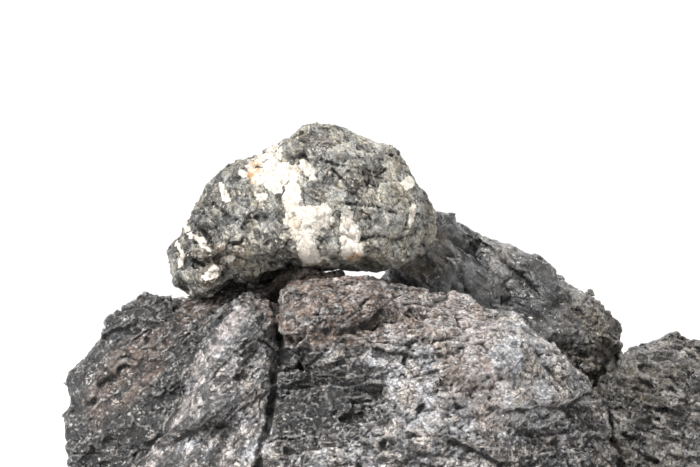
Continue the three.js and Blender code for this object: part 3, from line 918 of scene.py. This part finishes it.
def buildBackStone(setup):
    stone = Stone("back_stone", "backRock")
    grain = setup["grain"]
    stone.refine(setup["voxels"][0], 3, 8)
    stone.press(brokenPlanes(stone.points, stone.normals, 46, 0.95, 0.26, 201, grain))

    stone.refine(setup["voxels"][1], 0, 8)
    points = stone.points
    move = brokenPlanes(points, stone.normals, 24, 0.95, 0.42, 202, grain)
    move += (1 - 0.6 * stone.front) * cracks(points, 40, 1.8, 6.0, 223, grain)
    stone.press(move + ledges(points, grain, 13, 4.4, 211) + cutAndBulge(stone, setup)[0])

    stone.refine(setup["voxels"][2], 0, 6)
    points = stone.points
    crumbly = crumblingPart(points)
    move = brokenPlanes(points, stone.normals, 13, 0.97, 0.36, 205, grain) * (0.8 + 0.5 * crumbly)
    stone.press(move + crumbly * (ridged(points, 13, 3, 221) - 0.5) * 6)

    stone.refine(setup["voxels"][3], 0, 4)
    points = stone.points
    crumbly = crumblingPart(points)
    opened = cutAndBulge(stone, setup)[1]
    move = (0.5 + 0.8 * crumbly) * brokenPlanes(points, stone.normals, 7, 0.95, 0.4, 203, grain)
    move += crumbly * brokenPlanes(points, stone.normals, 4, 0.8, 0.6, 204)
    move += crumbly * fractal(points, 3.2, 2, 231) * 0.7 + cracks(points, 20, 0.9, 2.2, 222, grain)
    move += (1 - crumbly) * ledges(points, grain, 6, 1.1, 212, 4.0)
    stone.press((1 - opened) * move - 1.5 * opened)

    points = stone.points
    stone.shade("pale", 0.5 * crumbly * ramp(fractal(points, 8, 3, 241), 0.0, 0.4))
    stone.shade("stain", np.clip(patches(points, setup["stained"]) + 0.9 * crumbly, 0, 1))
    stone.shade("calm", 0.7 * (1 - crumbly))
    lift = patches(points, setup["lighter"]) + 0.4 * crumbly
    # painted shade: faces turned upward are darker
    stone.shade("lift", lift - 0.75 * ramp(stone.normals[:, 2], 0.1, 0.6))
    stone.finish(rockMaterial("backRock", backLook))


# ---- the stone at the right: layered, mossy brown in its hollows

sideStone = {
    "voxels": (1.6, 1.45, 1.3, 1.2),
    "grain": (0.25, 0.15, 0.95),
    "cuts": [  # path, how far its left and right stand out, reach, crack depth, crack width
        ([(-50, 43), (-43, 40), (-32, 39), (-21, 37), (-10, 32), (8, 28), (30, 26)], 4.0, -3.0, 12, 7.0, 1.8),
        ([(-26, 60), (-20, 54), (-14, 49), (-9, 52), (4, 53), (20, 48)], 3.5, -3.5, 10, 6.0, 1.8),
        ([(-60, 24), (-34, 17), (-11, 12), (14, 8), (40, 6)], 2.0, -3.0, 9, 4.0, 1.5),
        ([(-44, 58), (-36, 52), (-26, 54), (-18, 46), (-12, 38)], 2.5, -3.0, 8, 4.0, 1.5),
        ([(-46, 14), (-30, 6), (-16, 4), (-4, -4), (14, -8)], 3.0, -4.0, 10, 7.0, 2.0),
    ],
    "bulges": [((-24, 50), 7, 1.5, -30, 2.5), ((-42, 48), 9, 1.3, 20, -4.0), ((-28, 30), 10, 1.4, 0, -4.0),
               ((-12, 62), 9, 1.5, -20, 2.5), ((4, 42), 8, 1.5, -20, -3.0)],
    "lumps": [],
    "paler": [((-24, 50), 6, 1.5, -30, 351, 0.9)],
    "lighter": [((-24, 50), 8, 1.5, -30, 353, 0.5)],
    "stained": [((-38, 54), 14, 1.3, 20, 352, 1.0)],
}

sideLook = {
    "black": (0.007, 0.007, 0.007), "dark": (0.032, 0.03, 0.028), "mid": (0.075, 0.071, 0.068),
    "light": (0.25, 0.243, 0.235), "stain": (0.1, 0.08, 0.046), "pale": (0.3, 0.285, 0.27),
    "fleck": (0.44, 0.425, 0.405), "quartz": (0.6, 0.56, 0.5), "quartzShade": (0.45, 0.4, 0.35),
    "rust": (0.27, 0.144, 0.063), "layers": (-12,), "streak": 3.2, "mottle": 7.0, "grain": 1.5,
    "pepper": 0.45, "flecks": 0.08, "hollow": 0.05, "crest": 0.4, "gloss": (0.18, 0.4), "shine": 0.95,
    "chip": 5.5, "crackle": 11.0, "relief": 1.8, "facets": 0.16,
    "cool": (0.98, 0.98, 1.0), "warm": (1.12, 1.0, 0.86),
}


def buildSideStone(setup):
    stone = Stone("side_stone", "sideRock")
    grain = setup["grain"]
    stone.refine(setup["voxels"][0], 3, 8)
    stone.press(brokenPlanes(stone.points, stone.normals, 36, 0.9, 0.2, 301, grain))

    stone.refine(setup["voxels"][1], 0, 10)
    move = ledges(stone.points, grain, 10, 4.4, 311)
    move += (1 - 0.6 * stone.front) * cracks(stone.points, 36, 1.6, 5.0, 323, grain)
    stone.press(move + cutAndBulge(stone, setup)[0])

    stone.refine(setup["voxels"][2], 0, 6)
    solid = 1 - cutAndBulge(stone, setup)[1]
    stone.press(solid * brokenPlanes(stone.points, stone.normals, 15, 0.95, 0.5, 302, grain))

    stone.refine(setup["voxels"][3], 0, 4)
    points = stone.points
    opened = cutAndBulge(stone, setup)[1]
    move = brokenPlanes(points, stone.normals, 7.5, 0.85, 0.36, 303, grain)
    move += ledges(points, grain, 3.6, 1.2, 312, 2) + cracks(points, 16, 0.9, 1.6, 322, grain)
    move += (ridged(points, 7, 3, 331) - 0.5) * 1.1 + fractal(points, 3, 2, 332) * 0.4
    stone.press((1 - opened) * move - 1.5 * opened)

    points = stone.points
    pale = patches(points, setup["paler"]) + 0.3 * ramp(fractal(points, 20, 3, 341), 0.0, 0.5)
    stone.shade("pale", np.clip(pale, 0, 1))
    # painted shade: faces turned upward are darker
    lift = 0.6 + patches(points, setup["lighter"]) - ramp(stone.normals[:, 2], 0.0, 0.6)
    stone.shade("lift", lift)
    stain = patches(points, setup["stained"]) + 0.6 * ramp(fractal(points, 30, 2, 342), 0.0, 0.4)
    stone.shade("stain", np.clip(stain, 0, 1))
    stone.finish(rockMaterial("sideRock", sideLook))


# ---- the stone on top: grey, with cream quartz patches and veins

topStone = {
    "voxels": (1.3, 1.15, 1.0, 0.85),
    "grain": (0.3, 0.4, 0.85),
    "quartz": [  # place, size, stretch, lean
        ((-21, 27), 6.2, 1.3, 20), ((-16, 34), 5.4, 1.2, 70), ((-10, 25), 5.0, 1.8, 0),
        ((-14, 17), 2.8, 1.6, -25), ((-21, 11), 1.8, 1.6, 10),
        ((6, 27), 2.4, 2.4, -55), ((-3, 12), 4.0, 1.9, 80), ((-2, 1), 4.5, 1.6, 85),
        ((9, 0), 6.0, 1.3, 0), ((15, 0), 5.6, 1.1, -20), ((5, -8), 5.6, 1.2, 60),
        ((5, -18), 4.0, 2.2, 85), ((8, -27), 3.5, 2.4, 70), ((29, -2), 2.8, 2.2, 80),
        ((31, -15), 4.6, 1.9, 85), ((34, -22), 4.2, 1.4, 70), ((-44, 13), 1.9, 2.6, -55),
        ((-32, 24), 1.6, 1.8, -30), ((66, 18), 3.0, 1.3, 20), ((68, -1), 1.6, 4.0, 80),
        ((-50, -34), 2.6, 2.2, 40), ((-41, -26), 1.8, 2.2, 15),
    ],
    "veins": [  # path, half width
        ([(-69, -8), (-64, -12), (-58, -14), (-52, -21)], 1.0),
        ([(-73, -18), (-69, -22), (-70, -30)], 0.9),
        ([(44, 26), (47, 14), (51, 4), (53, -6)], 0.3),
        ([(9, -26), (16, -25), (23, -31)], 0.8),
        ([(8, -22), (14, -30), (15, -36)], 0.8),
        ([(-3, -12), (6, -20), (9, -30)], 0.9),
    ],
    "cuts": [  # path, how far its left and right stand out, reach, crack depth, crack width
        ([(-74, 8), (-66, -4), (-56, -10), (-48, -20), (-42, -32), (-38, -44)], 2.5, -1.5, 9, 7.0, 2.0),
        ([(-26, 42), (-14, 34), (-2, 27), (10, 21), (22, 14), (34, 4)], 1.5, -1.5, 10, 2.2, 1.2),
        ([(18, 30), (28, 20), (38, 10), (42, 2)], 1.5, -1.5, 8, 2.5, 1.2),
        ([(-46, -20), (-34, -25), (-20, -27), (-6, -30), (4, -34)], 2.5, -5.0, 8, 3.0, 1.8),
        ([(36, -16), (48, -12), (60, -14), (74, -10)], 2.0, -2.5, 9, 3.0, 1.5),
        ([(-64, -26), (-56, -30), (-50, -38)], 1.5, -2.0, 7, 3.5, 1.5),
        ([(-14, 48), (-16, 38), (-8, 34), (4, 36), (8, 26), (4, 18)], 2.0, -2.0, 7, 3.5, 1.6),
        ([(30, 24), (24, 17), (34, 12), (44, 22), (34, 26)], 1.8, -1.8, 6, 2.8, 1.3),
        ([(10, 34), (24, 30), (36, 28), (48, 24), (58, 26)], 1.5, -1.5, 8, 2.0, 1.2),
        ([(-2, 18), (10, 14), (24, 8), (44, 6), (62, 2)], 1.2, -1.2, 8, 1.5, 1.1),
        ([(-60, 2), (-48, 4), (-36, -2), (-24, 2), (-12, -4)], 1.5, -1.0, 8, 1.6, 1.2),
        ([(-46, -24), (-40, -16), (-30, -12), (-26, -20)], 2.0, -2.0, 7, 2.4, 1.4),
    ],
    "bulges": [  # place, size, stretch, lean, height
        ((-57, -34), 15, 1.4, 35, 5.0), ((-62, -8), 9, 1.3, -40, 2.5),
        ((-53, -14), 5, 1.2, 30, -5.5), ((-60, -28), 5.5, 1.3, 20, -5.5), ((-48, -26), 5, 1.2, 0, -5.5),
        ((-74, -29), 4, 1.2, 30, -3.0), ((-67, -40), 4, 1.3, 10, -3.0), ((-40, -33), 4, 1.4, 0, -3.0),
        ((0, 24), 6, 1.3, 20, -2.5), ((50, -24), 12, 1.6, 10, 2.5), ((8, 0), 9, 1.3, 60, 1.2),
    ],
    "lumps": [((-8, 0, 52), 18, -5.0), ((34, 0, 46), 18, -4.0)],
    "quartzBehind": [((22, 6), 8, 3.2, 60, 461, 0.8), ((-34, -10), 4, 4.0, -35, 462, 1.0),
                     ((2, 24), 5, 1.8, 20, 467, 0.8)],
    "rusty": [((-27, 24), 5, 1.6, 70, 463, 1.0), ((34, -25), 4, 1.3, 20, 464, 0.8),
              ((-2, -8), 3, 2.0, 80, 465, 0.5)],
    "paler": [((3, 25), 7, 1.3, 0, 468, 0.9)],
    "stained": [((-37, -22), 9, 1.3, 0, 466, 1.0)],
}

topLook = {
    "black": (0.037, 0.036, 0.034), "dark": (0.129, 0.127, 0.118), "mid": (0.23, 0.224, 0.204),
    "light": (0.386, 0.377, 0.34), "stain": (0.276, 0.216, 0.143), "pale": (0.46, 0.442, 0.386),
    "fleck": (0.644, 0.626, 0.57), "quartz": (0.92, 0.87, 0.79), "quartzShade": (0.68, 0.58, 0.46),
    "rust": (0.57, 0.276, 0.064), "layers": (-60,), "streak": 3.0, "mottle": 5.0, "grain": 1.3,
    "pepper": 0.3, "flecks": 0.07, "hollow": 0.08, "crest": 0.35, "gloss": (0.32, 0.6), "shine": 0.55,
    "chip": 4.2, "crackle": 9.0, "relief": 1.3, "facets": 0.09,
    "cool": (0.95, 0.98, 1.03), "warm": (1.08, 1.01, 0.88),
}


def buildTopStone(setup):
    stone = Stone("top_stone", "topRock")
    grain = setup["grain"]
    stone.refine(setup["voxels"][0], 3, 8)
    points = stone.points
    knobs = ramp(-points[:, 0], 38, 52) * ramp(-points[:, 2], -14, 2)
    move = (1 - knobs) * brokenPlanes(points, stone.normals, 26, 0.9, 0.26, 401, grain)
    stone.press(move + knobs * (ridged(points, 15, 3, 421) - 0.45) * 6)

    stone.refine(setup["voxels"][1], 0, 10)
    stone.press(cutAndBulge(stone, setup)[0])

    stone.refine(setup["voxels"][2], 0, 6)
    points = stone.points
    solid = 1 - cutAndBulge(stone, setup)[1]
    right = ramp(points[:, 0], 0, 20)
    move = brokenPlanes(points, stone.normals, 12, 0.9, 0.26, 402) + ledges(points, grain, 8, 1.6, 411)
    move += 0.6 * right * brokenPlanes(points, stone.normals, 8, 0.9, 0.3, 404, (0.8, 0.3, -0.5))
    stone.press(solid * move + cracks(points, 20, 1.0, 2.0, 422))

    stone.refine(setup["voxels"][3], 0, 4)
    points = stone.points
    quartz = np.zeros(len(points))
    for count, (at, size, stretch, lean) in enumerate(setup["quartz"]):
        quartz = np.maximum(quartz, blob(points, at, size * 1.3, stretch, lean, 440 + count, 0.4))
    for path, width in setup["veins"]:
        wander = fractal(points, 9, 2, 445) * 2.5
        distance, _ = pathDistance(points[:, 0] + wander, points[:, 2] + wander, path)
        quartz = np.maximum(quartz, 0.85 * (1 - ramp(np.abs(distance), width * 0.5, width * 2.2)))
    behind = patches(points, setup["quartzBehind"], 0.5) * ramp(stone.normals[:, 1], 0.1, 0.4)
    quartz = np.maximum(quartz * stone.front, behind)
    rough = 0.4 + 0.6 * ramp(fractal(points, 30, 2, 451), -0.3, 0.4)
    opened = cutAndBulge(stone, setup)[1]
    move = brokenPlanes(points, stone.normals, 6, 0.9, 0.22, 403, grain) + cracks(points, 9, 0.7, 1.0, 423)
    move += rough * (ridged(points, 6, 3, 431) - 0.5) * 0.7 + rough * fractal(points, 2.6, 2, 432) * 0.4
    stone.press(move * (1 - opened) * (1 - 0.3 * quartz) + 0.4 * ramp(quartz, 0.3, 0.7) - opened)

    points = stone.points
    stone.shade("quartz", quartz)
    stone.shade("rust", np.clip(patches(points, setup["rusty"]), 0, 1))
    pale = 0.35 * ramp(fractal(points, 16, 3, 441), 0.0, 0.5) + patches(points, setup["paler"])
    stone.shade("pale", np.clip(pale, 0, 1))
    stone.shade("lift", 0.55 * ramp(points[:, 0], 5, 30) - 0.25 * ramp(-points[:, 0], 30, 50))
    stain = patches(points, setup["stained"]) + 0.5 * ramp(fractal(points, 22, 2, 442), 0.05, 0.4)
    stone.shade("stain", np.clip(stain, 0, 1))
    stone.finish(rockMaterial("topRock", topLook))


buildFrontStone(frontStone)
buildBackStone(backStone)
buildSideStone(sideStone)
buildTopStone(topStone)
